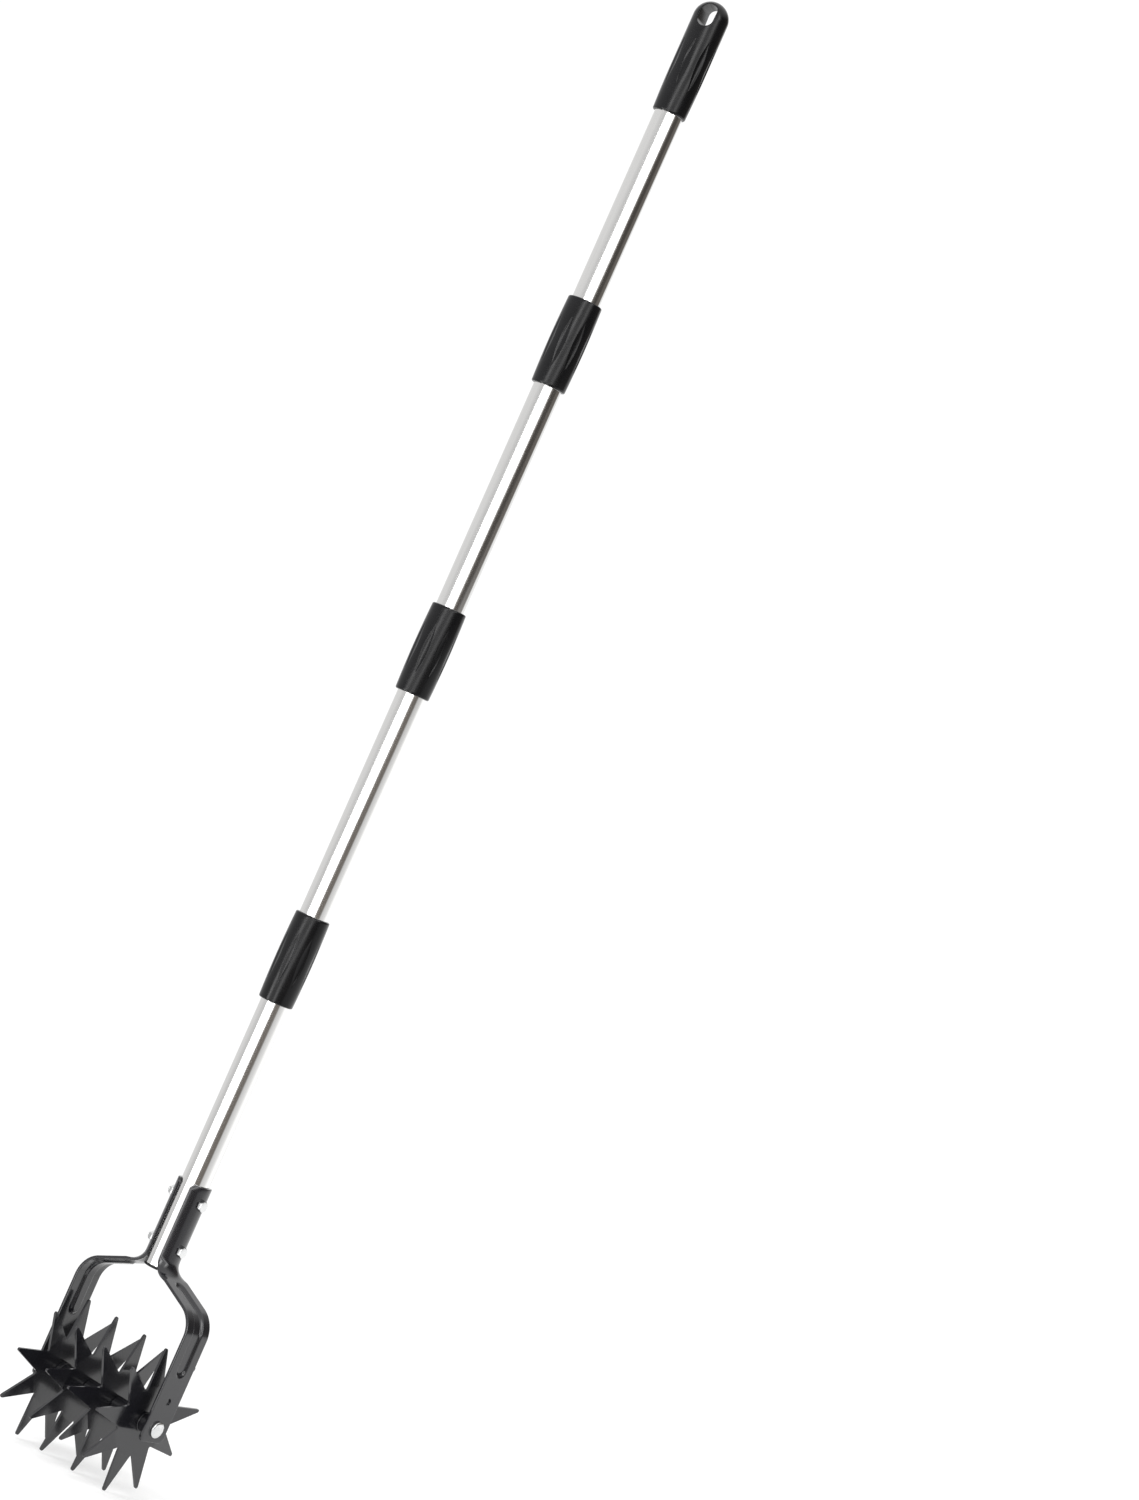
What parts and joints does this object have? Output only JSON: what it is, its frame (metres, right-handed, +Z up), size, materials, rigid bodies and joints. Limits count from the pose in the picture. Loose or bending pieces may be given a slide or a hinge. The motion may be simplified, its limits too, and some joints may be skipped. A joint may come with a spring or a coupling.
{
  "type": "rotary lawn aerator",
  "caption": "Long-handled push lawn aerator: spiked star wheels turn on an axle bolt between pressed fork arms, on a sectional stainless pole with a domed, slotted end grip.",
  "frame": {"origin": "on the ground under the pole, midway between the two fork arms; the star wheels' lowest tips stand just above it or on it", "axes": "+X along the axle towards the round bolt head, +Y across the wheels in the rolling direction, +Z up the pole"},
  "size_m": [0.1643, 0.1429, 1.5049],
  "materials": {
    "black_plastic": "moulded, satin to gloss",
    "stainless": "polished stainless tube",
    "black_paint": "gloss black enamel",
    "zinc": "bright zinc plate"
  },
  "bodies": {
    "head": {"left_arm": "black_paint", "right_arm": "black_paint", "clasp_bolts": "zinc", "clasp_nuts": "zinc", "tube_4": "stainless", "tube_end_plug": "black_plastic", "thread_stud_3": "black_plastic", "axle_bolt": "zinc", "axle_washer": "zinc", "axle_nut": "zinc", "left_spacer": "black_paint", "right_spacer": "black_paint", "thrust_washer": "black_paint"},
    "pole_3": {"tube_3": "stainless", "coupling_sleeve_3": "black_plastic", "thread_socket_3": "black_plastic", "thread_stud_2": "black_plastic"},
    "pole_2": {"tube_2": "stainless", "coupling_sleeve_2": "black_plastic", "thread_socket_2": "black_plastic", "thread_stud_1": "black_plastic"},
    "pole_1": {"tube_1": "stainless", "coupling_sleeve_1": "black_plastic", "thread_socket_1": "black_plastic", "end_grip": "black_plastic"},
    "wheel_1": {"star_wheel_1": "black_paint", "star_hub_1": "black_paint"},
    "wheel_2": {"star_wheel_2": "black_paint", "star_hub_2": "black_paint"},
    "wheel_3": {"star_wheel_3": "black_paint", "star_hub_3": "black_paint"},
    "wheel_4": {"star_wheel_4": "black_paint", "star_hub_4": "black_paint"}
  },
  "joints": [
    {"name": "section_3", "type": "slide", "parent": "head", "child": "pole_3", "axis": [0, 0, 1], "range_m": [0, 0.046]},
    {"name": "section_2", "type": "slide", "parent": "pole_3", "child": "pole_2", "axis": [0, 0, 1], "range_m": [0, 0.046]},
    {"name": "section_1", "type": "slide", "parent": "pole_2", "child": "pole_1", "axis": [0, 0, 1], "range_m": [0, 0.046]},
    {"name": "wheel_1_spin", "type": "hinge", "parent": "head", "child": "wheel_1", "pos_m": [-0.05685, 0, 0.07], "axis": [1, 0, 0], "continuous": true},
    {"name": "wheel_2_spin", "type": "hinge", "parent": "head", "child": "wheel_2", "pos_m": [-0.01895, 0, 0.07], "axis": [1, 0, 0], "continuous": true},
    {"name": "wheel_3_spin", "type": "hinge", "parent": "head", "child": "wheel_3", "pos_m": [0.01895, 0, 0.07], "axis": [1, 0, 0], "continuous": true},
    {"name": "wheel_4_spin", "type": "hinge", "parent": "head", "child": "wheel_4", "pos_m": [0.05685, 0, 0.07], "axis": [1, 0, 0], "continuous": true}
  ]
}
